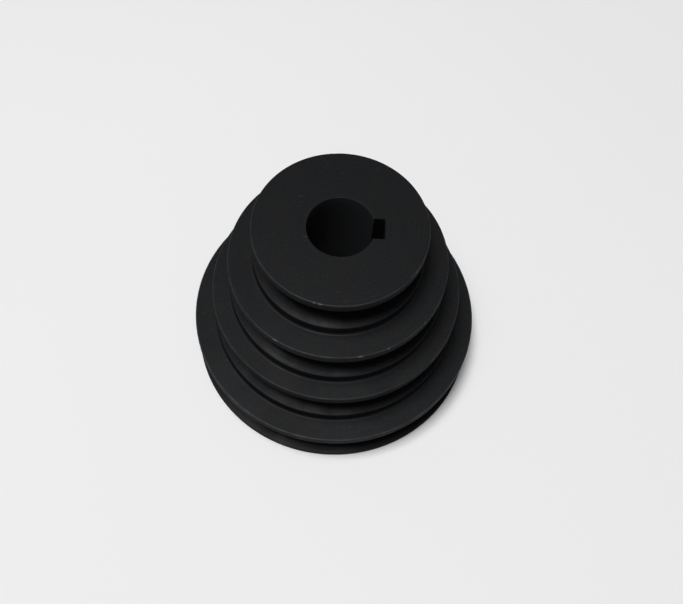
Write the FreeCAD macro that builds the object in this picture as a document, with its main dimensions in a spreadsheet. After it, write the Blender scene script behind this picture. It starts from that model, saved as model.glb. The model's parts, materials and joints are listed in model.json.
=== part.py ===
import FreeCAD, Part
import Sketcher
import os

# Four-step cone pulley for one classical A-section V-belt.
# The bore axis is +Z. The large end stands on the plane Z = 0, and the keyway points to +X.

doc = FreeCAD.newDocument("cone_pulley")
sizes = doc.addObject("Spreadsheet::Sheet", "sizes")

STEPS = ("largest", "third", "second", "smallest")  # from the large end upwards

DRIVING = (
    ("bore_diameter", "24"),
    ("bore_chamfer", "0.3"),
    ("keyway_width", "8"),
    ("keyway_depth", "3.3"),
    ("keyway_corner_radius", "0.25"),
    ("largest_pitch_diameter", "106"),
    ("third_pitch_diameter", "88.75"),
    ("second_pitch_diameter", "74.25"),
    ("smallest_pitch_diameter", "55.5"),
    ("step_width", "20.75"),
    ("largest_step_width", "17.75"),
    ("upper_land", "3.5"),
    ("groove_angle", "34"),
    ("groove_pitch_width", "11"),
    ("height_above_pitch", "3.3"),
    ("depth_below_pitch", "8.7"),
    ("edge_radius", "0.35"),
    ("foot_radius", "0.8"),
    ("floor_radius", "0.6"),
    ("screw_diameter", "6"),
    ("screw_clearance", "0.05"),
    ("screw_chamfer", "0.6"),
    ("cup_diameter", "3"),
    ("cup_depth", "0.85"),
    ("socket_across_flats", "3"),
    ("socket_depth", "3.5"),
    ("key_screw_length", "10"),
    ("key_screw_tip_distance", "17"),
    ("shaft_screw_length", "12"),
    ("shaft_screw_tip_distance", "14"),
)

# Sizes that follow from the driving ones.
DERIVED = [
    ("bore_radius", "bore_diameter / 2"),
    ("keyway_roof", "bore_radius + keyway_depth"),
    ("keyway_side", "keyway_width / 2"),
    ("keyway_other_side", "-keyway_side"),
    ("half_angle_tangent", "tan(groove_angle * 1deg / 2)"),
    ("groove_top_width", "groove_pitch_width + 2 * height_above_pitch * half_angle_tangent"),
    ("groove_floor_width", "groove_pitch_width - 2 * depth_below_pitch * half_angle_tangent"),
    ("groove_overrun", "1"),
    ("groove_overrun_width", "groove_top_width + 2 * groove_overrun * half_angle_tangent"),
    ("screw_radius", "screw_diameter / 2"),
    ("screw_hole_radius", "screw_radius + screw_clearance"),
    ("screw_rim_radius", "screw_radius - screw_chamfer"),
    ("cup_radius", "cup_diameter / 2"),
    ("point_height", "screw_radius - cup_radius"),
    ("socket_corner_radius", "socket_across_flats / sqrt(3)"),
]
for position, step in enumerate(STEPS):
    DERIVED += [
        (step + "_top", "largest_step_width + " + str(position) + " * step_width"),
        (step + "_outer_radius", step + "_pitch_diameter / 2 + height_above_pitch"),
        (step + "_floor_radius", step + "_pitch_diameter / 2 - depth_below_pitch"),
        (step + "_overrun_radius", step + "_outer_radius + groove_overrun"),
        (step + "_groove_centre", step + "_top - upper_land - groove_top_width / 2"),
        (step + "_mouth_high", step + "_groove_centre + groove_overrun_width / 2"),
        (step + "_mouth_low", step + "_groove_centre - groove_overrun_width / 2"),
        (step + "_lip_high", step + "_groove_centre + groove_top_width / 2"),
        (step + "_lip_low", step + "_groove_centre - groove_top_width / 2"),
        (step + "_floor_high", step + "_groove_centre + groove_floor_width / 2"),
        (step + "_floor_low", step + "_groove_centre - groove_floor_width / 2"),
    ]
DERIVED += [
    ("screw_height", "second_groove_centre"),
    ("key_screw_shoulder", "key_screw_length - screw_chamfer"),
    ("shaft_screw_shoulder", "shaft_screw_length - screw_chamfer"),
]

for row, (name, text) in enumerate(DRIVING, start=1):
    sizes.set("A" + str(row), name)
    sizes.set("B" + str(row), text)
    sizes.setAlias("B" + str(row), name)
doc.recompute()
for row, (name, formula) in enumerate(DERIVED, start=len(DRIVING) + 2):
    sizes.set("A" + str(row), name)
    sizes.set("B" + str(row), "=" + formula)
    sizes.setAlias("B" + str(row), name)
    doc.recompute()


def size(name):
    """The value of one named cell as a plain number."""
    value = sizes.get(name)
    return float(getattr(value, "Value", value))


def new_body(name):
    """An empty PartDesign body that carries its file name as its label."""
    body = doc.addObject("PartDesign::Body", name)
    body.Label = name
    return body


def new_sketch(body, name, plane):
    """An empty sketch on one of the body's own origin planes."""
    sketch = body.newObject("Sketcher::SketchObject", name)
    planes = [item for item in body.Origin.OriginFeatures if item.Role == plane]
    sketch.AttachmentSupport = (planes[0], [""])
    sketch.MapMode = "FlatFace"
    return sketch


def drive(sketch, kind, elements, cell):
    """Add one dimension to a sketch and bind it to a cell."""
    number = sketch.addConstraint(Sketcher.Constraint(kind, *elements, size(cell)))
    label = "dimension_" + str(number)
    sketch.renameConstraint(number, label)
    sketch.setExpression("Constraints." + label, "sizes." + cell)


def closed_profile(body, name, plane, corners):
    """A closed sketch through corners given as pairs of cell names. None means on that axis."""
    sketch = new_sketch(body, name, plane)
    places = [
        FreeCAD.Vector(size(across) if across else 0, size(up) if up else 0, 0)
        for across, up in corners
    ]
    count = len(places)
    for index in range(count):
        sketch.addGeometry(Part.LineSegment(places[index], places[(index + 1) % count]), False)
    for index in range(count):
        following = (index + 1) % count
        sketch.addConstraint(Sketcher.Constraint("Coincident", index, 2, following, 1))
    for index, (across, up) in enumerate(corners):
        if across:
            drive(sketch, "DistanceX", (-1, 1, index, 1), across)
        else:
            sketch.addConstraint(Sketcher.Constraint("PointOnObject", index, 1, -2))
        if up:
            drive(sketch, "DistanceY", (-1, 1, index, 1), up)
        else:
            sketch.addConstraint(Sketcher.Constraint("PointOnObject", index, 1, -1))
    return sketch


def round_sketch(body, name, plane, radius, height):
    """A circle centred on the vertical axis of the sketch at a named height."""
    sketch = new_sketch(body, name, plane)
    centre = FreeCAD.Vector(0, size(height), 0)
    sketch.addGeometry(Part.Circle(centre, FreeCAD.Vector(0, 0, 1), size(radius)), False)
    sketch.addConstraint(Sketcher.Constraint("PointOnObject", 0, 3, -2))
    drive(sketch, "DistanceY", (-1, 1, 0, 3), height)
    drive(sketch, "Radius", (0,), radius)
    return sketch


def turned(body, kind, name, sketch):
    """A full revolution or groove about the vertical axis of its sketch."""
    feature = body.newObject(kind, name)
    feature.Profile = sketch
    feature.ReferenceAxis = (sketch, ["V_Axis"])
    feature.Angle = 360
    doc.recompute()
    return feature


def cut_through(body, name, sketch):
    """A pocket that runs from its sketch along the sketch's normal until it leaves the body."""
    uncut = body.Tip.Shape.Volume
    feature = body.newObject("PartDesign::Pocket", name)
    feature.Profile = sketch
    feature.Type = "ThroughAll"
    feature.Reversed = True
    doc.recompute()
    if feature.Shape.Volume > uncut - 1:
        raise RuntimeError(name + " cut nothing")


def circles(feature, places):
    """Names of the full-circle edges of a feature that match any (radius, height) pair."""
    found = []
    for number, edge in enumerate(feature.Shape.Edges, start=1):
        if not isinstance(edge.Curve, Part.Circle):
            continue
        for radius, height in places:
            same_radius = abs(edge.Curve.Radius - radius) < 1e-4
            same_height = abs(edge.Curve.Center.z - height) < 1e-4
            if same_radius and same_height:
                found.append("Edge" + str(number))
    return found


def dressed(body, kind, name, edges, value, cell):
    """A fillet or chamfer on named edges of the body's newest feature."""
    base = body.Tip
    feature = body.newObject(kind, name)
    feature.Base = (base, edges)
    feature.setExpression(value, "sizes." + cell)
    doc.recompute()
    return feature


# ---- the casting --------------------------------------------------------------------------------

pulley = new_body("pulley_body")

outline = [("bore_radius", None)]
level = None
for step in STEPS:
    outline.append((step + "_outer_radius", level))
    level = step + "_top"
    outline.append((step + "_outer_radius", level))
outline.append(("bore_radius", level))
blank_outline = closed_profile(pulley, "blank_outline", "XZ_Plane", outline)
turned(pulley, "PartDesign::Revolution", "turned_blank", blank_outline)

for step in STEPS:
    section = closed_profile(
        pulley,
        step + "_groove_section",
        "XZ_Plane",
        (
            (step + "_floor_radius", step + "_floor_low"),
            (step + "_overrun_radius", step + "_mouth_low"),
            (step + "_overrun_radius", step + "_mouth_high"),
            (step + "_floor_radius", step + "_floor_high"),
        ),
    )
    turned(pulley, "PartDesign::Groove", step + "_belt_groove", section)

outer_edges = [(size("largest_outer_radius"), 0)]
floor_edges = []
for step in STEPS:
    outer = size(step + "_outer_radius")
    floor = size(step + "_floor_radius")
    outer_edges += [(outer, size(step + "_" + level)) for level in ("top", "lip_high", "lip_low")]
    floor_edges += [(floor, size(step + "_" + level)) for level in ("floor_high", "floor_low")]
foot_edges = [
    (size(step + "_outer_radius"), size(step_below + "_top"))
    for step_below, step in zip(STEPS, STEPS[1:])
]
bore_edges = [(size("bore_radius"), 0), (size("bore_radius"), size("smallest_top"))]

for kind, name, places, value, cell in (
    ("PartDesign::Fillet", "rounded_edges", outer_edges, "Radius", "edge_radius"),
    ("PartDesign::Fillet", "step_feet", foot_edges, "Radius", "foot_radius"),
    ("PartDesign::Fillet", "groove_floor_corners", floor_edges, "Radius", "floor_radius"),
    ("PartDesign::Chamfer", "bore_mouths", bore_edges, "Size", "bore_chamfer"),
):
    dressed(pulley, kind, name, circles(pulley.Tip, places), value, cell)

keyway_section = closed_profile(
    pulley,
    "keyway_section",
    "XY_Plane",
    (
        (None, "keyway_other_side"),
        ("keyway_roof", "keyway_other_side"),
        ("keyway_roof", "keyway_side"),
        (None, "keyway_side"),
    ),
)
cut_through(pulley, "keyway", keyway_section)

corners = []
for number, edge in enumerate(pulley.Tip.Shape.Edges, start=1):
    middle = edge.BoundBox.Center
    upright = edge.BoundBox.ZLength > size("step_width")
    at_roof = abs(middle.x - size("keyway_roof")) < 1e-4
    if upright and at_roof:
        corners.append("Edge" + str(number))
dressed(pulley, "PartDesign::Fillet", "keyway_corners", corners, "Radius", "keyway_corner_radius")

for name, plane in (("key_screw_hole", "YZ_Plane"), ("shaft_screw_hole", "XZ_Plane")):
    circle = round_sketch(pulley, name + "_circle", plane, "screw_hole_radius", "screw_height")
    cut_through(pulley, name, circle)


# ---- the set screws -----------------------------------------------------------------------------


def set_screw(name, length, shoulder, turn):
    """A socket set screw with a cup point, built upright on its point and then laid in its hole."""
    body = new_body(name)
    outline = closed_profile(
        body,
        name + "_outline",
        "XZ_Plane",
        (
            (None, "cup_depth"),
            ("cup_radius", None),
            ("screw_radius", "point_height"),
            ("screw_radius", shoulder),
            ("screw_rim_radius", length),
            (None, length),
        ),
    )
    turned(body, "PartDesign::Revolution", name + "_turned", outline)

    hexagon = new_sketch(body, name + "_hexagon", "XY_Plane")
    hexagon.AttachmentOffset = FreeCAD.Placement(FreeCAD.Vector(0, 0, size(length)), FreeCAD.Rotation())
    hexagon.setExpression("AttachmentOffset.Base.z", "sizes." + length)
    reach = FreeCAD.Vector(size("socket_corner_radius"), 0, 0)
    sixth = FreeCAD.Rotation(FreeCAD.Vector(0, 0, 1), 60)
    points = [reach]
    for side in range(5):
        points.append(sixth.multVec(points[-1]))
    for side in range(6):
        hexagon.addGeometry(Part.LineSegment(points[side], points[(side + 1) % 6]), False)
    hexagon.addGeometry(Part.Circle(FreeCAD.Vector(), FreeCAD.Vector(0, 0, 1), reach.x), True)
    hexagon.addConstraint(Sketcher.Constraint("Coincident", 6, 3, -1, 1))
    drive(hexagon, "Radius", (6,), "socket_corner_radius")
    for side in range(6):
        hexagon.addConstraint(Sketcher.Constraint("Coincident", side, 2, (side + 1) % 6, 1))
        hexagon.addConstraint(Sketcher.Constraint("PointOnObject", side, 1, 6))
    for side in range(1, 6):
        hexagon.addConstraint(Sketcher.Constraint("Equal", 0, side))
    hexagon.addConstraint(Sketcher.Constraint("PointOnObject", 0, 1, -1))

    socket = body.newObject("PartDesign::Pocket", name + "_socket")
    socket.Profile = hexagon
    socket.Type = "Length"
    socket.setExpression("Length", "sizes.socket_depth")
    doc.recompute()

    body.Placement = FreeCAD.Placement(FreeCAD.Vector(), turn)
    return body


UP = FreeCAD.Vector(0, 0, 1)
key_screw = set_screw(
    "key_set_screw",
    "key_screw_length",
    "key_screw_shoulder",
    FreeCAD.Rotation(UP, FreeCAD.Vector(1, 0, 0)),
)
key_screw.setExpression("Placement.Base.x", "sizes.key_screw_tip_distance")
key_screw.setExpression("Placement.Base.z", "sizes.screw_height")

shaft_screw = set_screw(
    "shaft_set_screw",
    "shaft_screw_length",
    "shaft_screw_shoulder",
    FreeCAD.Rotation(UP, FreeCAD.Vector(0, -1, 0)),
)
shaft_screw.setExpression("Placement.Base.y", "-sizes.shaft_screw_tip_distance")
shaft_screw.setExpression("Placement.Base.z", "sizes.screw_height")
doc.recompute()


# ---- check and write ----------------------------------------------------------------------------

for item in doc.Objects:
    faults = [word for word in item.State if word in ("Invalid", "Error")]
    if faults:
        raise RuntimeError(item.Name + " did not compute")

os.makedirs("parts", exist_ok=True)
for node in (pulley, key_screw, shaft_screw):
    shape = node.Shape
    if shape.isNull() or not shape.isValid() or len(shape.Solids) != 1:
        raise RuntimeError(node.Label + " is not one sound solid")
    shape.exportStep("parts/" + node.Label + ".step")
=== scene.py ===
import json
import math

import bmesh
import bpy
from bpy.props import FloatProperty, FloatVectorProperty, IntProperty, PointerProperty
from mathutils import Matrix, Vector, noise


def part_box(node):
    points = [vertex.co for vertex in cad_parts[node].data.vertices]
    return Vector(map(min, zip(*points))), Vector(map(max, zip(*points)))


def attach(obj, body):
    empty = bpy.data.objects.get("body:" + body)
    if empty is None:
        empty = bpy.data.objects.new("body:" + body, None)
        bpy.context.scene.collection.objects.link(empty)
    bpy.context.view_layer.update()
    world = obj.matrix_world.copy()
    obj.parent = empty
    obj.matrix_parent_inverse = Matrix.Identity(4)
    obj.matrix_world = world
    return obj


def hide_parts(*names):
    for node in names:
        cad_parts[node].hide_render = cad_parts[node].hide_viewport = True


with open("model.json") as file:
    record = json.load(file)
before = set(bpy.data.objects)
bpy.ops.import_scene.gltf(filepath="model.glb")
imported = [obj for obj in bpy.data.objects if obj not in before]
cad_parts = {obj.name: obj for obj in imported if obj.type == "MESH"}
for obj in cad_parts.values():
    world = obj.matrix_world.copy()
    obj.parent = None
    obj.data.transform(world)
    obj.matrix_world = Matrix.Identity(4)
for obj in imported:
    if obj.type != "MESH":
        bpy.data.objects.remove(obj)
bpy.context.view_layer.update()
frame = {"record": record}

bl_info = {
    "name": "Stepped V-belt pulley",
    "version": (1, 0, 0),
    "blender": (4, 5, 0),
    "location": "View3D > Sidebar > Pulley",
    "description": "Builds a turned four-step cone pulley with its set screws and a plain stage",
    "category": "Object",
}

MM = 0.001
TURN = 2 * math.pi
WELD = 1e-7  # corners nearer to each other than this are one
SHARP_ANGLE = math.radians(32)
MOUNTS = {mount["name"]: mount for mount in frame["record"]["mounts"]}
BORE_RADIUS = MOUNTS["shaft_bore"]["dims"]["r_mm"] * MM
LOW, HIGH = (corner[2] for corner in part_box("pulley_body"))
STEPS = ("largest", "third", "second", "smallest")  # from the large end upwards


# ---- sizes and colours a user would change ------------------------------------------------------


class PulleySizes(bpy.types.PropertyGroup):
    """Sizes of the casting. Heights and the bore come from the frame."""

    outer_diameters: FloatVectorProperty(
        name="Outer diameters",
        description="Outside diameter of each step, from the largest to the smallest",
        size=4,
        default=(112.6 * MM, 95.35 * MM, 80.85 * MM, 62.1 * MM),
        unit="LENGTH",
        precision=5,
    )
    groove_depth: FloatProperty(
        name="Groove depth",
        description="From the outside diameter to the groove's floor",
        default=12 * MM,
        unit="LENGTH",
        precision=5,
    )
    groove_angle: FloatProperty(
        name="Groove angle",
        description="Angle between the two flanks",
        default=math.radians(34),
        subtype="ANGLE",
    )
    groove_mouth: FloatProperty(
        name="Groove mouth",
        description="Width of the groove at the outside diameter",
        default=13.018 * MM,
        unit="LENGTH",
        precision=5,
    )
    upper_land: FloatProperty(
        name="Upper land",
        description="Height of the band above each groove",
        default=3.5 * MM,
        unit="LENGTH",
        precision=5,
    )
    edge_radius: FloatProperty(
        name="Edge radius",
        description="Rounding of the outer edges",
        default=0.35 * MM,
        unit="LENGTH",
        precision=5,
    )
    foot_radius: FloatProperty(
        name="Foot radius",
        description="Hollow rounding where a step meets the face below it",
        default=0.8 * MM,
        unit="LENGTH",
        precision=5,
    )
    floor_radius: FloatProperty(
        name="Floor corner radius",
        description="Hollow rounding between a groove's floor and its flanks",
        default=0.6 * MM,
        unit="LENGTH",
        precision=5,
    )
    bore_chamfer: FloatProperty(
        name="Bore chamfer",
        description="Chamfer at both mouths of the bore",
        default=0.3 * MM,
        unit="LENGTH",
        precision=5,
    )
    keyway_width: FloatProperty(
        name="Keyway width",
        description="Width of the slot for the key",
        default=8 * MM,
        unit="LENGTH",
        precision=5,
    )
    keyway_roof: FloatProperty(
        name="Keyway roof",
        description="Distance from the bore's axis to the roof of the keyway",
        default=15.3 * MM,
        unit="LENGTH",
        precision=5,
    )
    facets: IntProperty(
        name="Facets",
        description="Facets around the turned casting",
        default=256,
        min=48,
        max=360,
    )


class ScrewSizes(bpy.types.PropertyGroup):
    """Sizes of the socket set screws and of their thread."""

    pitch: FloatProperty(
        name="Pitch",
        description="Travel of the screw in one turn",
        default=1 * MM,
        unit="LENGTH",
        precision=5,
    )
    crest_radius: FloatProperty(
        name="Crest radius",
        description="Outside radius of the thread",
        default=2.96 * MM,
        unit="LENGTH",
        precision=5,
    )
    thread_depth: FloatProperty(
        name="Thread depth",
        description="From the thread's crest to its root",
        default=0.54 * MM,
        unit="LENGTH",
        precision=5,
    )
    thread_clearance: FloatProperty(
        name="Thread clearance",
        description="Gap between the screw's thread and the tapped hole's",
        default=0.06 * MM,
        unit="LENGTH",
        precision=5,
    )
    cup_radius: FloatProperty(
        name="Cup radius",
        description="Radius of the cup point's rim",
        default=1.5 * MM,
        unit="LENGTH",
        precision=5,
    )
    socket_width: FloatProperty(
        name="Socket width",
        description="Across the flats of the hexagon socket",
        default=3 * MM,
        unit="LENGTH",
        precision=5,
    )
    socket_depth: FloatProperty(
        name="Socket depth",
        description="Depth of the hexagon socket",
        default=3.5 * MM,
        unit="LENGTH",
        precision=5,
    )
    facets: IntProperty(
        name="Facets",
        description="Facets around a screw, a multiple of six",
        default=48,
        min=24,
        max=96,
    )


class FinishColours(bpy.types.PropertyGroup):
    """Colours of the finishes."""

    phosphate: FloatVectorProperty(
        name="Phosphate",
        description="Black phosphate and oil on the turned iron",
        subtype="COLOR",
        size=3,
        default=(0.0066, 0.0070, 0.0077),
        min=0,
        max=1,
    )
    oxide: FloatVectorProperty(
        name="Black oxide",
        description="Black oxide on the set screws",
        subtype="COLOR",
        size=3,
        default=(0.02, 0.02, 0.022),
        min=0,
        max=1,
    )
    bare_metal: FloatVectorProperty(
        name="Bare metal",
        description="Metal that shows where an edge is rubbed through",
        subtype="COLOR",
        size=3,
        default=(0.24, 0.24, 0.23),
        min=0,
        max=1,
    )
    floor: FloatVectorProperty(
        name="Floor",
        description="The plain floor",
        subtype="COLOR",
        size=3,
        default=(0.9, 0.9, 0.9),
        min=0,
        max=1,
    )


# ---- node graphs --------------------------------------------------------------------------------


class Graph:
    """Adds nodes to a tree and joins them with short calls."""

    def __init__(self, tree):
        self.tree = tree

    def add(self, kind, **settings):
        node = self.tree.nodes.new(kind)
        for name, value in settings.items():
            setattr(node, name, value)
        return node

    def feed(self, socket, value):
        """Join an output to a socket, or set the socket to a plain value."""
        if isinstance(value, bpy.types.NodeSocket):
            self.tree.links.new(value, socket)
        elif value is not None:
            socket.default_value = value

    def math(self, operation, *values, clamp=False):
        node = self.add("ShaderNodeMath", operation=operation, use_clamp=clamp)
        for socket, value in zip(node.inputs, values):
            self.feed(socket, value)
        return node.outputs[0]

    def span(self, value, low, high, to_low=0.0, to_high=1.0):
        """Map a range to another with soft ends."""
        node = self.add("ShaderNodeMapRange", interpolation_type="SMOOTHSTEP")
        for name, number in (
            ("Value", value),
            ("From Min", low),
            ("From Max", high),
            ("To Min", to_low),
            ("To Max", to_high),
        ):
            self.feed(node.inputs[name], number)
        return node.outputs["Result"]

    def blend(self, factor, first, second):
        """Mix two colours."""
        node = self.add("ShaderNodeMix", data_type="RGBA")
        self.feed(node.inputs["Factor"], factor)
        colours = [socket for socket in node.inputs if socket.type == "RGBA"]
        self.feed(colours[0], first)
        self.feed(colours[1], second)
        return next(socket for socket in node.outputs if socket.type == "RGBA")

    def tinted(self, colour, tint):
        """A colour multiplied by another colour or by a value."""
        node = self.add("ShaderNodeVectorMath", operation="MULTIPLY")
        self.feed(node.inputs[0], colour)
        self.feed(node.inputs[1], tint)
        return node.outputs[0]

    def shifted(self, vector, distance):
        """The vector moved the same distance along each axis."""
        node = self.add("ShaderNodeVectorMath", operation="ADD")
        self.feed(node.inputs[0], vector)
        self.feed(node.inputs[1], (distance, distance, distance))
        return node.outputs[0]

    def turned_place(self, position):
        """Distance from the pulley's axis, and height along it."""
        parts = self.add("ShaderNodeSeparateXYZ")
        self.feed(parts.inputs[0], position)
        across = self.math("MULTIPLY", parts.outputs[0], parts.outputs[0])
        along = self.math("MULTIPLY", parts.outputs[1], parts.outputs[1])
        return self.math("SQRT", self.math("ADD", across, along)), parts.outputs[2]

    def noise(self, vector, scale, detail=2.0, roughness=0.5, dimensions="3D", w=None):
        node = self.add("ShaderNodeTexNoise", noise_dimensions=dimensions)
        if dimensions != "1D":
            self.feed(node.inputs["Vector"], vector)
        if w is not None:
            self.feed(node.inputs["W"], w)
        self.feed(node.inputs["Scale"], scale)
        self.feed(node.inputs["Detail"], detail)
        self.feed(node.inputs["Roughness"], roughness)
        return node.outputs["Fac"] if "Fac" in node.outputs else node.outputs[0]


def new_tree(name, kind, inputs, outputs):
    """A node group with named sockets, its graph and its two end nodes."""
    tree = bpy.data.node_groups.new(name, kind)
    for direction, sockets in (("INPUT", inputs), ("OUTPUT", outputs)):
        for label, socket_type, default in sockets:
            socket = tree.interface.new_socket(name=label, in_out=direction, socket_type=socket_type)
            if default is not None:
                socket.default_value = default
    graph = Graph(tree)
    return graph, graph.add("NodeGroupInput").outputs, graph.add("NodeGroupOutput").inputs


# ---- the turned piece: one tree for the casting, the screws and the tapping tools ----------------

TURNED_PIECE = "Turned piece"
THREAD_ROOT = 0.22  # share of a pitch that is flat root
THREAD_FLANKS = 0.62  # share of a pitch that is flank; the rest is flat crest


def turned_piece_tree():
    """Sweeps an outline about +Z. Marked rows follow the thread or the hexagon socket."""
    if TURNED_PIECE in bpy.data.node_groups:
        return bpy.data.node_groups[TURNED_PIECE]
    graph, given, result = new_tree(
        TURNED_PIECE,
        "GeometryNodeTree",
        (
            ("Outline", "NodeSocketGeometry", None),
            ("Facets", "NodeSocketInt", 96),
            ("Pitch", "NodeSocketFloat", 0.001),
            ("Crest Radius", "NodeSocketFloat", 0.003),
            ("Thread Depth", "NodeSocketFloat", 0.0005),
            ("Socket Width", "NodeSocketFloat", 0.003),
            ("Material", "NodeSocketMaterial", None),
        ),
        (("Geometry", "NodeSocketGeometry", None),),
    )

    rows = graph.add("GeometryNodeAttributeDomainSize", component="MESH")
    graph.feed(rows.inputs["Geometry"], given["Outline"])
    rows = rows.outputs["Point Count"]
    grid = graph.add("GeometryNodeMeshGrid")
    graph.feed(grid.inputs["Vertices X"], graph.math("ADD", given["Facets"], 1))
    graph.feed(grid.inputs["Vertices Y"], rows)

    index = graph.add("GeometryNodeInputIndex").outputs[0]
    column = graph.math("FLOOR", graph.math("DIVIDE", graph.math("ADD", index, 0.5), rows))
    row = graph.math("SUBTRACT", index, graph.math("MULTIPLY", column, rows))
    share = graph.math("DIVIDE", column, given["Facets"])
    angle = graph.math("MULTIPLY", share, TURN)

    def outline_value(kind, value):
        sample = graph.add("GeometryNodeSampleIndex", data_type=kind, domain="POINT")
        graph.feed(sample.inputs["Geometry"], given["Outline"])
        graph.feed(sample.inputs["Value"], value)
        graph.feed(sample.inputs["Index"], row)
        return sample.outputs[0]

    def outline_mark(name):
        mark = graph.add("GeometryNodeInputNamedAttribute", data_type="FLOAT")
        graph.feed(mark.inputs["Name"], name)
        return outline_value("FLOAT", mark.outputs["Attribute"])

    place = graph.add("ShaderNodeSeparateXYZ")
    position = graph.add("GeometryNodeInputPosition").outputs[0]
    graph.feed(place.inputs[0], outline_value("FLOAT_VECTOR", position))
    plain_radius, height = place.outputs[0], place.outputs[2]

    # thread: a flat crest, a flat root and two straight flanks along one pitch
    phase = graph.math("FRACT", graph.math("SUBTRACT", graph.math("DIVIDE", height, given["Pitch"]), share))
    away = graph.math("ABSOLUTE", graph.math("SUBTRACT", graph.math("MULTIPLY", phase, 2), 1))
    rise = graph.math("DIVIDE", graph.math("SUBTRACT", away, THREAD_ROOT), THREAD_FLANKS, clamp=True)
    drop = graph.math("MULTIPLY", graph.math("SUBTRACT", 1, rise), given["Thread Depth"])
    thread_radius = graph.math("SUBTRACT", given["Crest Radius"], drop)
    cut_radius = graph.math("MINIMUM", plain_radius, thread_radius)

    # socket: the distance to the nearest flat of a hexagon
    turned = graph.math("SUBTRACT", graph.math("MODULO", angle, TURN / 6), TURN / 12)
    flat = graph.math("MULTIPLY", given["Socket Width"], 0.5)
    socket_radius = graph.math("DIVIDE", flat, graph.math("COSINE", turned))

    def choose(mark, plain, marked):
        node = graph.add("ShaderNodeMix", data_type="FLOAT")
        graph.feed(node.inputs[0], mark)
        graph.feed(node.inputs[2], plain)
        graph.feed(node.inputs[3], marked)
        return node.outputs[0]

    threaded = outline_mark("threaded")
    radius = choose(threaded, plain_radius, cut_radius)
    radius = choose(outline_mark("socket"), radius, socket_radius)

    target = graph.add("ShaderNodeCombineXYZ")
    graph.feed(target.inputs[0], graph.math("MULTIPLY", radius, graph.math("COSINE", angle)))
    graph.feed(target.inputs[1], graph.math("MULTIPLY", radius, graph.math("SINE", angle)))
    graph.feed(target.inputs[2], height)

    # rubbed edges, which also carry a painted highlight: marked rows of the outline, and the crests of a
    # thread
    rub = graph.math("MAXIMUM", outline_mark("edge"), graph.math("MULTIPLY", threaded, rise))
    store = graph.add("GeometryNodeStoreNamedAttribute", data_type="FLOAT", domain="POINT")
    graph.feed(store.inputs["Geometry"], grid.outputs["Mesh"])
    graph.feed(store.inputs["Name"], "edge")
    graph.feed(store.inputs["Value"], rub)

    move = graph.add("GeometryNodeSetPosition")
    graph.feed(move.inputs["Geometry"], store.outputs[0])
    graph.feed(move.inputs["Position"], target.outputs[0])
    close = graph.add("GeometryNodeMergeByDistance")
    graph.feed(close.inputs["Geometry"], move.outputs[0])
    graph.feed(close.inputs["Distance"], WELD)
    real = graph.add("GeometryNodeRealizeInstances")
    graph.feed(real.inputs[0], close.outputs[0])
    finish = graph.add("GeometryNodeSetMaterial")
    graph.feed(finish.inputs["Geometry"], real.outputs[0])
    graph.feed(finish.inputs["Material"], given["Material"])
    graph.feed(result["Geometry"], finish.outputs[0])
    return graph.tree


def turn_piece(name, rows, facets, material, **thread):
    """A plain mesh object from outline rows of (radius, height, threaded, socket, edge)."""
    outline = bpy.data.meshes.new(name + ".outline")
    links = [(number, number + 1) for number in range(len(rows) - 1)]
    outline.from_pydata([(row[0], 0, row[1]) for row in rows], links, [])
    for column, mark in ((2, "threaded"), (3, "socket"), (4, "edge")):
        values = outline.attributes.new(mark, "FLOAT", "POINT")
        values.data.foreach_set("value", [float(row[column]) for row in rows])

    maker = bpy.data.objects.new(name + ".maker", outline)
    bpy.context.scene.collection.objects.link(maker)
    modifier = maker.modifiers.new(TURNED_PIECE, "NODES")
    modifier.node_group = turned_piece_tree()
    sockets = {
        item.name: item.identifier
        for item in modifier.node_group.interface.items_tree
        if item.in_out == "INPUT"
    }
    modifier[sockets["Facets"]] = facets
    modifier[sockets["Material"]] = material
    for label, value in thread.items():
        modifier[sockets[label.replace("_", " ").title()]] = value

    mesh = plain_mesh(maker, name)
    one_material(mesh, material)
    bpy.data.objects.remove(maker)
    bpy.data.meshes.remove(outline)
    return link_piece(name, mesh)


def plain_mesh(piece, name):
    """The evaluated mesh of an object, free of modifiers."""
    bpy.context.view_layer.update()
    evaluated = piece.evaluated_get(bpy.context.evaluated_depsgraph_get())
    mesh = bpy.data.meshes.new_from_object(evaluated)
    mesh.name = name
    return mesh


def one_material(mesh, material):
    """Give every face the same single material slot."""
    mesh.materials.clear()
    mesh.materials.append(material)
    mesh.polygons.foreach_set("material_index", [0] * len(mesh.polygons))


def link_piece(name, mesh):
    piece = bpy.data.objects.new(name, mesh)
    bpy.context.scene.collection.objects.link(piece)
    return piece


def outward(mesh):
    """Merge doubles and point every face outwards."""
    work = bmesh.new()
    work.from_mesh(mesh)
    bmesh.ops.remove_doubles(work, verts=work.verts, dist=WELD)
    bmesh.ops.recalc_face_normals(work, faces=work.faces)
    work.to_mesh(mesh)
    work.free()


def smooth(mesh):
    """Smooth shading that breaks at sharp corners."""
    mesh.shade_smooth()
    mesh.set_sharp_from_angle(angle=SHARP_ANGLE)


# ---- outlines -----------------------------------------------------------------------------------

ARC_PARTS = 5
SUPPORT = 0.22 * MM  # from a rounding to the row that keeps the flat beside it flat
SHARP_SUPPORT = 0.1 * MM  # the same beside a sharp corner

# how much each edge of the casting is rubbed and carries a painted highlight, from 0 to 1
BORE_EDGE, MOUTH_EDGE, RIM_EDGE, LIP_EDGE, EXPOSED_EDGE = 0.6, 0.8, 0.6, 0.5, 1

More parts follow.
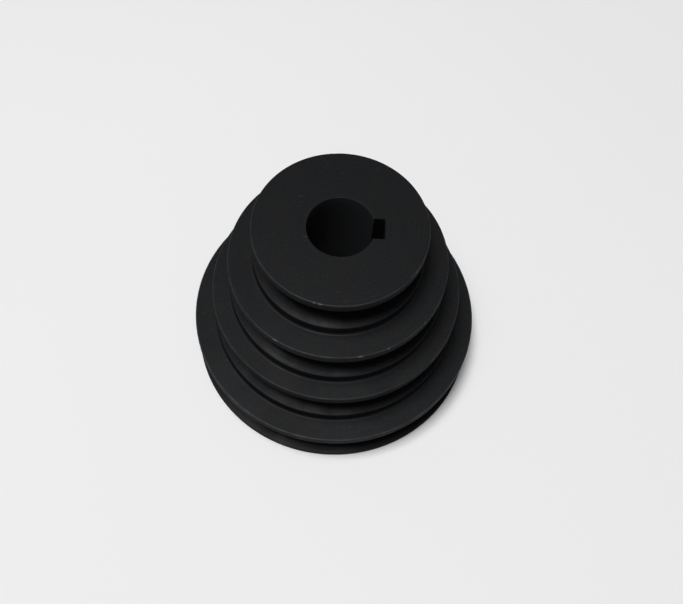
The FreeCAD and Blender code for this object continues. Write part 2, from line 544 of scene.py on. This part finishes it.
THREAD_ROWS = 12  # outline rows in one pitch
POINT_CHAMFER = 0.6 * MM
CUP_DEPTH = 0.85 * MM
CUP_LIP = 0.06 * MM
CUP_LIP_WIDTHS = (0.2 * MM, 0.12 * MM)
SOCKET_LEAD_IN = 0.18 * MM
SOCKET_LIP = 0.08 * MM
SOCKET_ROWS = (0.16 * MM, 0.35 * MM)
SOCKET_FLOOR_ROW = 0.2 * MM
DRILL_POINT = 0.7 * MM
TAP_FLARE = 0.25 * MM


def rounded_outline(corners):
    """Rows of an outline whose corners are (radius, height, rounding, edge mark).

    Every rounding is an arc with a support row on each side, so that the flats beside it shade flat.
    """
    rows = []
    count = len(corners)
    for number, (radius, height, rounding, edge) in enumerate(corners):
        here = Vector((radius, height))
        before = (Vector(corners[number - 1][:2]) - here).normalized()
        after = (Vector(corners[(number + 1) % count][:2]) - here).normalized()
        opening = before.angle(after)
        reach = rounding / math.tan(opening / 2)
        if rounding == 0:
            for offset in (before * SHARP_SUPPORT, Vector((0, 0)), after * SHARP_SUPPORT):
                rows.append((*(here + offset), 0, 0, edge if offset.length == 0 else 0))
            continue
        middle = here + (before + after).normalized() * (rounding / math.sin(opening / 2))
        start = here + before * reach - middle
        sweep = (here + after * reach - middle).angle_signed(start)
        rows.append((*(here + before * (reach + SUPPORT)), 0, 0, 0))
        for part in range(ARC_PARTS + 1):
            turned = Matrix.Rotation(sweep * part / ARC_PARTS, 2) @ start
            rows.append((*(middle + turned), 0, 0, edge))
        rows.append((*(here + after * (reach + SUPPORT)), 0, 0, 0))
    return rows


def step_top(step, sizes):
    """Height of a step's upper face, from its groove's centre in the frame."""
    centre = MOUNTS[step + "_step_groove"]["pos_m"][2]
    return centre + sizes.groove_mouth / 2 + sizes.upper_land


def casting_corners(sizes):
    """The casting's outline from the bore's lower mouth outwards, up the steps and down the bore."""
    bore = BORE_RADIUS
    chamfer, rounding = sizes.bore_chamfer, sizes.edge_radius
    half_mouth = sizes.groove_mouth / 2
    half_floor = half_mouth - sizes.groove_depth * math.tan(sizes.groove_angle / 2)

    corners = [(bore, LOW + chamfer, 0, BORE_EDGE), (bore + chamfer, LOW, 0, MOUTH_EDGE)]
    bottom, foot = LOW, (rounding, RIM_EDGE)
    for number, step in enumerate(STEPS):
        outer = sizes.outer_diameters[number] / 2
        floor = outer - sizes.groove_depth
        centre = MOUNTS[step + "_step_groove"]["pos_m"][2]
        corners.append((outer, bottom, *foot))
        bottom, foot = step_top(step, sizes), (sizes.foot_radius, 0)
        corners += [
            (outer, centre - half_mouth, rounding, LIP_EDGE),
            (floor, centre - half_floor, sizes.floor_radius, 0),
            (floor, centre + half_floor, sizes.floor_radius, 0),
            (outer, centre + half_mouth, rounding, LIP_EDGE),
            (outer, bottom, rounding, EXPOSED_EDGE if step == "largest" else RIM_EDGE),
        ]
    corners += [(bore + chamfer, HIGH, 0, MOUTH_EDGE), (bore, HIGH - chamfer, 0, BORE_EDGE)]
    return corners


def screw_rows(sizes, length):
    """A set screw's outline from the bottom of its cup to the bottom of its socket."""
    rim, crest = sizes.cup_radius, sizes.crest_radius
    steps = round(length / sizes.pitch * THREAD_ROWS)
    inner, outer = CUP_LIP_WIDTHS
    rows = [(0, CUP_DEPTH, 0, 0, 0), (rim - inner, CUP_LIP, 0, 0, 0), (rim - outer, 0, 0, 0, 1)]
    for step in range(steps + 1):
        height = length * step / steps
        radius = min(rim + height, crest, crest - POINT_CHAMFER + length - height)
        rows.append((radius, height, 1, 0, 0))
    mouth = sizes.socket_width / 2 / math.cos(TURN / 12) + SOCKET_LEAD_IN
    floor = length - sizes.socket_depth
    rows += [
        (mouth + SOCKET_LIP, length, 0, 0, 0.3),
        (mouth, length, 0, 0, 1),
        (mouth, length - SOCKET_ROWS[0], 0, 1, 1),
        (mouth, length - SOCKET_ROWS[1], 0, 1, 0),
        (mouth, floor + SOCKET_FLOOR_ROW, 0, 1, 0),
        (mouth, floor, 0, 1, 0),
        (0, floor - DRILL_POINT, 0, 0, 0),
    ]
    return rows


def tap_rows(sizes, start, mouth, end):
    """A tapping tool's outline. It flares just below the groove's floor, for the hole's lead-in."""
    crest = sizes.crest_radius + sizes.thread_clearance
    threaded = mouth - TAP_FLARE - start
    lip = TAP_FLARE / 2
    steps = round(threaded / sizes.pitch * THREAD_ROWS)
    rows = [(0, start, 0, 0, 0)]
    for step in range(steps + 1):
        rows.append((crest, start + threaded * step / steps, 1, 0, 0))
    rows += [(crest, mouth - lip, 0, 0, 1), (crest + lip, mouth, 0, 0, 1)]
    rows += [(crest + lip, end, 0, 0, 0), (0, end, 0, 0, 0)]
    return rows


# ---- finishes: node groups that the materials share ---------------------------------------------


def turning_lay_group():
    """Fine rings left by the tool. They follow the distance along any turned surface."""
    name = "Turning lay"
    if name in bpy.data.node_groups:
        return bpy.data.node_groups[name]
    graph, given, result = new_tree(
        name,
        "ShaderNodeTree",
        (
            ("Position", "NodeSocketVector", None),
            ("Rings per metre", "NodeSocketFloat", 900.0),
            ("Wander", "NodeSocketFloat", 0.00012),
        ),
        (("Height", "NodeSocketFloat", None), ("Streak", "NodeSocketFloat", None)),
    )
    radius, height = graph.turned_place(given["Position"])
    drift = graph.math("SUBTRACT", graph.noise(given["Position"], 45.0, 1.0), 0.5)
    travel = graph.math("ADD", radius, height)
    travel = graph.math("ADD", travel, graph.math("MULTIPLY", drift, given["Wander"]))
    coarse = graph.noise(None, given["Rings per metre"], 3.0, 0.65, "1D", travel)
    fine = graph.noise(None, graph.math("MULTIPLY", given["Rings per metre"], 3.7), 2.0, 0.6, "1D", travel)
    # the tool bites harder in some sectors than in others, so a ring is never even all the way round
    bite = graph.span(graph.noise(given["Position"], 60.0, 3.0), 0.3, 0.7, 0.45, 1.0)
    relief = graph.math("ADD", graph.math("MULTIPLY", coarse, 0.6), graph.math("MULTIPLY", fine, 0.4))
    graph.feed(result["Height"], graph.math("MULTIPLY", relief, bite))
    graph.feed(result["Streak"], graph.span(coarse, 0.3, 0.7))
    return graph.tree


def mottle_group():
    """Cloudy variation of a chemical black finish, a fine crystal grain and an oil film."""
    name = "Black finish mottle"
    if name in bpy.data.node_groups:
        return bpy.data.node_groups[name]
    graph, given, result = new_tree(
        name,
        "ShaderNodeTree",
        (
            ("Position", "NodeSocketVector", None),
            ("Cloud Scale", "NodeSocketFloat", 70.0),
            ("Grain Scale", "NodeSocketFloat", 1500.0),
        ),
        (
            ("Cloud", "NodeSocketFloat", None),
            ("Grain", "NodeSocketFloat", None),
            ("Film", "NodeSocketFloat", None),
        ),
    )
    cloud = graph.noise(given["Position"], given["Cloud Scale"], 5.0, 0.6)
    graph.feed(result["Cloud"], graph.span(cloud, 0.32, 0.68))
    graph.feed(result["Grain"], graph.noise(given["Position"], given["Grain Scale"], 2.0, 0.7))
    film = graph.noise(graph.shifted(given["Position"], 0.31), 120.0, 3.0, 0.55)
    graph.feed(result["Film"], graph.span(film, 0.34, 0.66))
    return graph.tree


def edge_wear_and_highlight_group():
    """Where an edge is rubbed: a lighter line along it, partly polish and partly painted highlight, and nicks
    down to bare metal.
    """
    name = "Edge wear"
    if name in bpy.data.node_groups:
        return bpy.data.node_groups[name]
    graph, given, result = new_tree(
        name,
        "ShaderNodeTree",
        (
            ("Position", "NodeSocketVector", None),
            ("Edge", "NodeSocketFloat", 0.0),
            ("Knock", "NodeSocketFloat", 0.0),
            ("Nick Scale", "NodeSocketFloat", 160.0),
            ("Nick Amount", "NodeSocketFloat", 0.3),
        ),
        (("Polish", "NodeSocketFloat", None), ("Bare", "NodeSocketFloat", None)),
    )
    region = graph.span(graph.noise(given["Position"], 38.0, 2.0), 0.42, 0.66)
    spots = graph.noise(given["Position"], given["Nick Scale"], 4.0, 0.7)
    limit = graph.math("SUBTRACT", 0.78, graph.math("MULTIPLY", given["Nick Amount"], 0.3))
    nick = graph.span(spots, limit, graph.math("ADD", limit, 0.06))
    edge = graph.span(given["Edge"], 0.15, 1.0)
    nick = graph.math("MULTIPLY", graph.math("MULTIPLY", nick, edge), region)
    knock = graph.span(graph.math("ADD", given["Knock"], graph.math("MULTIPLY", spots, 0.5)), 0.55, 0.75)
    knock = graph.math("MULTIPLY", knock, graph.span(given["Knock"], 0.05, 0.3))
    graph.feed(result["Bare"], graph.math("MAXIMUM", nick, knock))
    # painted highlight: the lighter line along each rounded edge is partly real rubbing and partly stands in
    # for the light the edge catches
    rub = graph.span(spots, 0.3, 0.7, 0.35, 1.0)
    graph.feed(result["Polish"], graph.math("MULTIPLY", edge, rub))
    return graph.tree


def bore_painted_light_group():
    """The wall of the bore, painted lighter: painted light that stands in for fill light in the bore."""
    name = "Bored wall"
    if name in bpy.data.node_groups:
        return bpy.data.node_groups[name]
    graph, given, result = new_tree(
        name,
        "ShaderNodeTree",
        (("Position", "NodeSocketVector", None), ("Radius", "NodeSocketFloat", 0.012)),
        (("Wall", "NodeSocketFloat", None),),
    )
    radius = graph.turned_place(given["Position"])[0]
    beyond = graph.math("SUBTRACT", radius, given["Radius"])
    # painted light: full on the bore wall, fading out within a fifth of a millimetre of it
    graph.feed(result["Wall"], graph.span(beyond, 0.05 * MM, 0.2 * MM, 1.0, 0.0))
    return graph.tree


def scuff_group():
    """Sparse short scratches from handling, in two directions."""
    name = "Handling scuffs"
    if name in bpy.data.node_groups:
        return bpy.data.node_groups[name]
    graph, given, result = new_tree(
        name,
        "ShaderNodeTree",
        (("Position", "NodeSocketVector", None), ("Amount", "NodeSocketFloat", 0.5)),
        (("Scuff", "NodeSocketFloat", None),),
    )
    limit = graph.math("SUBTRACT", 0.76, graph.math("MULTIPLY", given["Amount"], 0.08))
    marks = []
    for turn, region_shift in ((0.6, 0.13), (2.1, 0.47)):
        lay = graph.add("ShaderNodeMapping")
        graph.feed(lay.inputs["Vector"], given["Position"])
        lay.inputs["Rotation"].default_value = (0.3, 0.2, turn)
        lay.inputs["Scale"].default_value = (0.12, 1.0, 1.0)
        stroke = graph.noise(lay.outputs[0], 1700.0, 1.0, 0.4)
        stroke = graph.span(stroke, limit, graph.math("ADD", limit, 0.05))
        region = graph.noise(graph.shifted(given["Position"], region_shift), 55.0, 1.0)
        marks.append(graph.math("MULTIPLY", stroke, graph.span(region, 0.52, 0.68)))
    graph.feed(result["Scuff"], graph.math("MAXIMUM", *marks))
    return graph.tree


def place_group(graph, tree, **values):
    """Put a shared group into a material and set its named inputs."""
    node = graph.add("ShaderNodeGroup", node_tree=tree)
    for label, value in values.items():
        graph.feed(node.inputs[label.replace("_", " ")], value)
    return node.outputs


# how bright each part of a black finish is, as a multiple of its colour
DARK_CLOUD, LIGHT_CLOUD = 0.8, 1.24
DARK_SPECK, LIGHT_SPECK = 0.55, 1.5
# the rubbed edge value is partly rubbing and partly painted highlight, and the bored wall value is painted
# light in the bore
TOOL_MARK, BORE_PAINTED_LIGHT, SCUFFED, RUB_AND_PAINTED_HIGHLIGHT = 1.75, 4.5, 6, 11

# how far each of those covers the finish where it is strongest
TOOL_MARK_COVER, SCUFF_COVER, RUB_AND_HIGHLIGHT_COVER = 0.25, 0.6, 0.55

COOL_FILM, WARM_FILM = (0.9, 1.0, 1.16, 1), (1.06, 1.02, 0.88, 1)


def scaled(colour, factor):
    """An opaque colour, a number of times as bright."""
    return (*[part * factor for part in colour], 1)


def black_finish(name, colour, bare, settings):
    """A chemically blackened metal with tool marks, mottle, rubbed edges that also carry a painted highlight,
    and painted light in the bore where asked.
    """
    if name in bpy.data.materials:
        return bpy.data.materials[name]
    material = bpy.data.materials.new(name)
    material.use_nodes = True
    graph = Graph(material.node_tree)
    shader = material.node_tree.nodes["Principled BSDF"]
    place = graph.add("ShaderNodeTexCoord").outputs["Object"]
    mark = graph.add("ShaderNodeAttribute", attribute_name="edge").outputs["Fac"]
    knock = graph.add("ShaderNodeAttribute", attribute_name="knock").outputs["Fac"]

    mottle = place_group(graph, mottle_group(), Position=place)
    wear = place_group(
        graph, edge_wear_and_highlight_group(), Position=place, Edge=mark, Knock=knock, Nick_Amount=settings["nicks"]
    )
    lay = place_group(graph, turning_lay_group(), Position=place, Rings_per_metre=settings["rings"])

    body = graph.blend(mottle["Cloud"], scaled(colour, DARK_CLOUD), scaled(colour, LIGHT_CLOUD))
    body = graph.tinted(body, graph.blend(mottle["Film"], COOL_FILM, WARM_FILM))
    body = graph.tinted(body, graph.span(mottle["Grain"], 0.25, 0.75, DARK_SPECK, LIGHT_SPECK))
    streak = graph.math("MULTIPLY", lay["Streak"], TOOL_MARK_COVER)
    body = graph.blend(streak, body, scaled(colour, TOOL_MARK))
    # painted highlight: edges are lightened partly for rubbing and partly to stand in for the light they
    # catch
    rubbed = graph.math("MULTIPLY", wear["Polish"], RUB_AND_HIGHLIGHT_COVER)
    body = graph.blend(rubbed, body, scaled(colour, RUB_AND_PAINTED_HIGHLIGHT))
    # painted light: the bore wall is made several times lighter to stand in for fill light
    if settings["painted_bore_light"]:
        wall = place_group(graph, bore_painted_light_group(), Position=place, Radius=settings["painted_bore_light"])["Wall"]
        body = graph.blend(wall, body, scaled(colour, BORE_PAINTED_LIGHT))
    scuff = place_group(graph, scuff_group(), Position=place, Amount=settings["scuffs"])["Scuff"]
    scuffed = graph.math("MULTIPLY", scuff, SCUFF_COVER)
    body = graph.blend(scuffed, body, scaled(colour, SCUFFED))
    body = graph.blend(wear["Bare"], body, (*bare, 1))
    graph.feed(shader.inputs["Base Color"], body)

    rough = graph.span(mottle["Cloud"], 0.0, 1.0, settings["rough"] + 0.05, settings["rough"] - 0.05)
    rough = graph.math("ADD", rough, graph.math("MULTIPLY", graph.math("SUBTRACT", lay["Streak"], 0.5), 0.08))
    rough = graph.math("SUBTRACT", rough, graph.math("MULTIPLY", wear["Polish"], 0.08))
    rough = graph.math("ADD", rough, graph.math("MULTIPLY", wear["Bare"], 0.1))
    graph.feed(shader.inputs["Roughness"], rough)
    graph.feed(shader.inputs["Metallic"], graph.math("MULTIPLY", wear["Bare"], 0.9))
    shader.inputs["Specular IOR Level"].default_value = settings["gloss"]

    bump = graph.add("ShaderNodeBump")
    height = graph.math("ADD", lay["Height"], graph.math("MULTIPLY", mottle["Grain"], 0.25))
    height = graph.math("SUBTRACT", height, graph.math("MULTIPLY", wear["Bare"], 0.6))
    graph.feed(bump.inputs["Height"], height)
    bump.inputs["Strength"].default_value = 1.0
    bump.inputs["Distance"].default_value = settings["relief"]
    graph.feed(shader.inputs["Normal"], bump.outputs["Normal"])
    return material


def phosphated_iron():
    """The casting's finish: a dull, slightly worn black phosphate, with painted light in the bore."""
    colours = bpy.context.scene.finish_colours
    settings = {
        "nicks": 0.35,
        "rings": 1500.0,
        "rough": 0.48,
        "gloss": 0.13,
        "relief": 14e-6,
        "scuffs": 0.5,
        "painted_bore_light": BORE_RADIUS,
    }
    return black_finish("phosphated_iron", colours.phosphate, colours.bare_metal, settings)


def oxide_steel():
    """The set screws' finish: a smoother black oxide."""
    colours = bpy.context.scene.finish_colours
    settings = {
        "nicks": 0.5,
        "rings": 4000.0,
        "rough": 0.36,
        "gloss": 0.5,
        "relief": 4e-6,
        "scuffs": 0.2,
        "painted_bore_light": None,
    }
    return black_finish("black_oxide_steel", colours.oxide, colours.bare_metal, settings)


# ---- placing the screws -------------------------------------------------------------------------

SCREWS = {
    "key_set_screw": {"piece": "key_screw", "body": "key_screw", "axis": Vector((1, 0, 0))},
    "shaft_set_screw": {"piece": "shaft_screw", "body": "shaft_screw", "axis": Vector((0, -1, 0))},
}


def screw_place(node):
    """Length of a screw and the matrix that lays it in its hole, from the frame's own node."""
    low, high = (Vector(corner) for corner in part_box(node))
    middle = (low + high) / 2
    axis = SCREWS[node]["axis"]
    length = abs((high - low).dot(axis))
    tip = middle - axis * (length / 2)
    turn = Vector((0, 0, 1)).rotation_difference(axis).to_matrix().to_4x4()
    return length, Matrix.Translation(tip) @ turn


# ---- cutting ------------------------------------------------------------------------------------


KEYWAY_CORNER = 0.25 * MM
KEYWAY_CORNER_PARTS = 3
KEYWAY_FLARE = 0.3 * MM
TAP_OVERRUN = 3 * MM


def keyway_cutter(sizes):
    """A bar the shape of the keyway, flared at both ends to break its sharp edges."""
    side, roof = sizes.keyway_width / 2, sizes.keyway_roof
    corner, flare = KEYWAY_CORNER, KEYWAY_FLARE
    work = bmesh.new()
    rings = []
    for height, grow in (
        (LOW - flare, 2 * flare),
        (LOW + flare, 0),
        (HIGH - flare, 0),
        (HIGH + flare, 2 * flare),
    ):
        outline = [(0, -side - grow)]
        for quarter in range(2):
            for part in range(KEYWAY_CORNER_PARTS + 1):
                angle = TURN / 4 * (quarter - 1 + part / KEYWAY_CORNER_PARTS)
                middle = Vector((roof + grow - corner, (side + grow - corner) * (2 * quarter - 1)))
                outline.append(middle + corner * Vector((math.cos(angle), math.sin(angle))))
        outline.append((0, side + grow))
        rings.append([work.verts.new((*point, height)) for point in outline])
    for first, second in zip(rings, rings[1:]):
        for number in range(len(first)):
            after = (number + 1) % len(first)
            work.faces.new((first[number], first[after], second[after], second[number]))
    work.faces.new(reversed(rings[0]))
    work.faces.new(rings[-1])
    bmesh.ops.recalc_face_normals(work, faces=work.faces)
    mesh = bpy.data.meshes.new("keyway_cutter")
    work.to_mesh(mesh)
    work.free()
    return link_piece("keyway_cutter", mesh)


def tap_cutter(node, sizes, groove_floor):
    """The tool that leaves one tapped hole, laid along its screw."""
    length, place = screw_place(node)
    tip = abs(place.translation.dot(SCREWS[node]["axis"]))
    start = BORE_RADIUS - TAP_OVERRUN - tip
    mouth = groove_floor - tip
    cutter = turn_piece(
        node + "_tap",
        tap_rows(sizes, start, mouth, mouth + TAP_OVERRUN),
        sizes.facets,
        None,
        pitch=sizes.pitch,
        crest_radius=sizes.crest_radius + sizes.thread_clearance,
        thread_depth=sizes.thread_depth,
    )
    cutter.data.transform(place)
    outward(cutter.data)
    return cutter


def cut(piece, cutters):
    """Take the cutters out of a piece and leave a plain mesh."""
    for cutter in cutters:
        modifier = piece.modifiers.new(cutter.name, "BOOLEAN")
        modifier.operation = "DIFFERENCE"
        modifier.solver = "EXACT"
        modifier.object = cutter
    before = len(piece.data.vertices)
    mesh = plain_mesh(piece, piece.data.name)
    if len(mesh.vertices) <= before:
        raise RuntimeError("the cutters left no new corners in " + piece.name)
    one_material(mesh, piece.data.materials[0])
    piece.modifiers.clear()
    piece.data = mesh
    for cutter in cutters:
        bpy.data.objects.remove(cutter)


# ---- knocks on the rims -------------------------------------------------------------------------

KNOCKS = (  # step, direction from +X in degrees, length along the rim, strength
    ("smallest", -103.8, 1.5 * MM, 0.8),
    ("smallest", -100.2, 1.9 * MM, 1.0),
    ("smallest", -12.0, 0.8 * MM, 0.6),
    ("smallest", 96.0, 1.6 * MM, 0.7),
    ("second", -120.5, 2.3 * MM, 1.0),
    ("second", -76.5, 2.3 * MM, 1.0),
    ("second", -61.7, 1.1 * MM, 0.7),
    ("second", -37.8, 1.2 * MM, 0.6),
    ("second", 78.0, 2.0 * MM, 0.8),
    ("third", 72.0, 2.0 * MM, 0.7),
    ("third", 121.0, 1.6 * MM, 0.9),
    ("largest", 64.0, 2.4 * MM, 0.9),
    ("largest", 108.0, 2.2 * MM, 0.8),
)
KNOCK_REACH = 0.36 * MM  # across the edge
KNOCK_DEPTH = 0.12 * MM
KNOCK_FORCE = 1.6
KNOCK_FADE = 1.25  # half lengths from the middle at which a knock ends
KNOCK_RAGGEDNESS = 0.35
KNOCK_GRAIN = 2400


def knock_rims(casting, sizes):
    """Dent the rims where the pulley was knocked, and mark the metal laid bare there."""
    mesh = casting.data
    marks = [0.0] * len(mesh.vertices)
    for step, direction, length, strength in KNOCKS:
        radius = sizes.outer_diameters[STEPS.index(step)] / 2
        rim = step_top(step, sizes)
        facing = math.radians(direction)
        middle = Vector((math.cos(facing), math.sin(facing), 0)) * radius + Vector((0, 0, rim))
        for vertex in mesh.vertices:
            place = vertex.co
            if (place - middle).length > length + KNOCK_REACH:
                continue
            across = Vector((place.xy.length - radius, place.z - rim)).length / KNOCK_REACH
            along = (place.xy - middle.xy).length / (length / 2)
            ragged = KNOCK_RAGGEDNESS * noise.noise(place * KNOCK_GRAIN)
            force = strength * KNOCK_FORCE * max(1 - across, 0) * max(KNOCK_FADE - along + ragged, 0)
            marks[vertex.index] = max(marks[vertex.index], min(force, 1))
    values = mesh.attributes.new("knock", "FLOAT", "POINT")
    values.data.foreach_set("value", marks)
    for vertex, mark in zip(mesh.vertices, marks):
        if mark > 0:
            inward = Vector((*-vertex.co.xy.normalized(), -1)).normalized()
            vertex.co += inward * KNOCK_DEPTH * mark


# ---- operators ----------------------------------------------------------------------------------


class PULLEY_OT_casting(bpy.types.Operator):
    """Turn the stepped casting, broach its keyway and tap its screw holes"""

    bl_idname = "pulley.casting"
    bl_label = "Casting"

    def execute(self, context):
        sizes = context.scene.pulley_sizes
        screws = context.scene.screw_sizes
        rows = rounded_outline(casting_corners(sizes))
        rows.append(rows[0])
        casting = turn_piece("casting", rows, sizes.facets, phosphated_iron())
        outward(casting.data)

        screwed_step = STEPS.index("second")
        groove_floor = sizes.outer_diameters[screwed_step] / 2 - sizes.groove_depth
        cutters = [keyway_cutter(sizes)]
        cutters += [tap_cutter(node, screws, groove_floor) for node in SCREWS]
        cut(casting, cutters)
        knock_rims(casting, sizes)
        smooth(casting.data)

        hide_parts("pulley_body")
        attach(casting, "pulley")
        return {"FINISHED"}


class PULLEY_OT_set_screws(bpy.types.Operator):
    """Make both socket set screws and lay them in their holes"""

    bl_idname = "pulley.set_screws"
    bl_label = "Set screws"

    def execute(self, context):
        sizes = context.scene.screw_sizes
        for node, screw in SCREWS.items():
            length, place = screw_place(node)
            piece = turn_piece(
                screw["piece"],
                screw_rows(sizes, length),
                sizes.facets,
                oxide_steel(),
                pitch=sizes.pitch,
                crest_radius=sizes.crest_radius,
                thread_depth=sizes.thread_depth,
                socket_width=sizes.socket_width,
            )
            piece.data.transform(place)
            outward(piece.data)
            smooth(piece.data)
            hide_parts(node)
            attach(piece, screw["body"])
        return {"FINISHED"}


class PULLEY_OT_stage(bpy.types.Operator):
    """Lay the plain floor, hang the soft lights and place the camera"""

    bl_idname = "pulley.stage"
    bl_label = "Stage"

    def execute(self, context):
        lay_floor(context.scene.finish_colours.floor)
        hang_lights(context.scene)
        place_camera(context.scene)
        return {"FINISHED"}


# ---- the stage ----------------------------------------------------------------------------------


FLOOR_HALF = 3.0
FLOOR_UNEVENNESS = 0.985
FLOOR_BOUNCE = 0.35  # how bright the floor is to anything but the camera
ROOM_GLOW = (0.7, 0.05)  # at the horizon, and from ROOM_GLOW_TOP upwards
ROOM_GLOW_TOP = 0.4
ROOM_SEEN = 0.95  # the least that the camera sees of the room
SUN_DIRECTION, SUN_STRENGTH, SUN_SPREAD = (-0.14, -0.06, 1.0), 1.35, math.radians(24)
BOX_PLACE, BOX_TARGET = (-0.22, -0.13, 1.25), (0, 0, 0.04)
BOX_SIZE, BOX_POWER = 0.5, 7.6


def lay_floor(colour):
    """A wide pale sheet with a faint, soft unevenness."""
    mesh = bpy.data.meshes.new("floor")
    half = FLOOR_HALF
    corners = [(-half, -half, 0), (half, -half, 0), (half, half, 0), (-half, half, 0)]
    mesh.from_pydata(corners, [], [(0, 1, 2, 3)])
    floor = link_piece("floor", mesh)
    material = bpy.data.materials.new("floor_paper")
    material.use_nodes = True
    graph = Graph(material.node_tree)
    shader = material.node_tree.nodes["Principled BSDF"]
    place = graph.add("ShaderNodeTexCoord").outputs["Object"]
    tone = graph.noise(place, 3.0, 2.0)
    seen = graph.add("ShaderNodeLightPath").outputs["Is Camera Ray"]
    paper = graph.blend(tone, (*colour, 1), scaled(colour, FLOOR_UNEVENNESS))
    graph.feed(shader.inputs["Base Color"], graph.blend(seen, scaled(colour, FLOOR_BOUNCE), paper))
    shader.inputs["Roughness"].default_value = 0.9
    shader.inputs["Specular IOR Level"].default_value = 0.1
    mesh.materials.append(material)


def soft_light(name, place, target, size, power):
    """A square soft box that faces a point."""
    light = bpy.data.lights.new(name, "AREA")
    light.shape = "SQUARE"
    light.size = size
    light.energy = power
    holder = bpy.data.objects.new(name, light)
    bpy.context.scene.collection.objects.link(holder)
    holder.location = place
    holder.rotation_euler = (Vector(target) - Vector(place)).to_track_quat("-Z", "Y").to_euler()


def soft_sun(name, direction, strength, spread):
    """A wide distant light that keeps the whole floor evenly lit."""
    light = bpy.data.lights.new(name, "SUN")
    light.energy = strength
    light.angle = spread
    holder = bpy.data.objects.new(name, light)
    bpy.context.scene.collection.objects.link(holder)
    holder.rotation_euler = Vector(direction).to_track_quat("Z", "Y").to_euler()


def hang_lights(scene):
    """A pale room that glows low down, one wide sun and one near soft box from the front left."""
    world = bpy.data.worlds.new("soft_room")
    world.use_nodes = True
    graph = Graph(world.node_tree)
    background = world.node_tree.nodes["Background"]
    seen = graph.add("ShaderNodeLightPath").outputs["Is Camera Ray"]
    background.inputs["Color"].default_value = (1, 1, 1, 1)
    direction = graph.add("ShaderNodeSeparateXYZ")
    graph.feed(direction.inputs[0], graph.add("ShaderNodeTexCoord").outputs["Generated"])
    glow = graph.span(direction.outputs[2], 0.0, ROOM_GLOW_TOP, *ROOM_GLOW)
    seen_room = graph.math("MULTIPLY", seen, ROOM_SEEN)
    graph.feed(background.inputs["Strength"], graph.math("MAXIMUM", glow, seen_room))
    scene.world = world
    soft_sun("wide_sun", SUN_DIRECTION, SUN_STRENGTH, SUN_SPREAD)
    soft_light("near_box", BOX_PLACE, BOX_TARGET, BOX_SIZE, BOX_POWER)
    scene.view_settings.view_transform = "Standard"


CAMERA_TARGET = Vector((2.54, 0, 23.6)) * MM
CAMERA_DISTANCE = 341.6 * MM
CAMERA_HEIGHT_ANGLE = math.radians(62.7)
CAMERA_ROLL = math.radians(5.01)
CAMERA_TURN = math.radians(-2.0)
CAMERA_LENS = 44.78


def place_camera(scene):
    camera = bpy.data.cameras.new("camera")
    camera.sensor_width = 36
    camera.sensor_fit = "HORIZONTAL"
    camera.lens = CAMERA_LENS
    camera.clip_start = 0.01
    holder = bpy.data.objects.new("camera", camera)
    scene.collection.objects.link(holder)
    back = Vector((0, -math.cos(CAMERA_HEIGHT_ANGLE), math.sin(CAMERA_HEIGHT_ANGLE)))
    level = Matrix.Rotation(math.pi / 2 - CAMERA_HEIGHT_ANGLE, 4, "X")
    place = Matrix.Translation(CAMERA_TARGET + back * CAMERA_DISTANCE)
    turn = Matrix.Rotation(CAMERA_TURN, 4, "Z")
    holder.matrix_world = turn @ place @ level @ Matrix.Rotation(CAMERA_ROLL, 4, "Z")
    scene.camera = holder


# ---- panel and registration ---------------------------------------------------------------------


class PULLEY_PT_panel(bpy.types.Panel):
    """Lists the sizes, the colours and the pieces of the pulley"""

    bl_idname = "PULLEY_PT_panel"
    bl_label = "Stepped pulley"
    bl_space_type = "VIEW_3D"
    bl_region_type = "UI"
    bl_category = "Pulley"

    def draw(self, context):
        for operator in OPERATORS:
            self.layout.operator(operator.bl_idname)
        for group in (context.scene.pulley_sizes, context.scene.screw_sizes, context.scene.finish_colours):
            box = self.layout.box()
            for name in group.__annotations__:
                box.prop(group, name)


OPERATORS = (PULLEY_OT_casting, PULLEY_OT_set_screws, PULLEY_OT_stage)
GROUPS = {"pulley_sizes": PulleySizes, "screw_sizes": ScrewSizes, "finish_colours": FinishColours}


def register():
    for item in (*GROUPS.values(), *OPERATORS, PULLEY_PT_panel):
        bpy.utils.register_class(item)
    for name, group in GROUPS.items():
        setattr(bpy.types.Scene, name, PointerProperty(type=group))


def unregister():
    for name in GROUPS:
        delattr(bpy.types.Scene, name)
    for item in reversed((*GROUPS.values(), *OPERATORS, PULLEY_PT_panel)):
        bpy.utils.unregister_class(item)


def main():
    register()
    bpy.ops.pulley.casting()
    bpy.ops.pulley.set_screws()
    bpy.ops.pulley.stage()


if __name__ == "__main__":
    main()
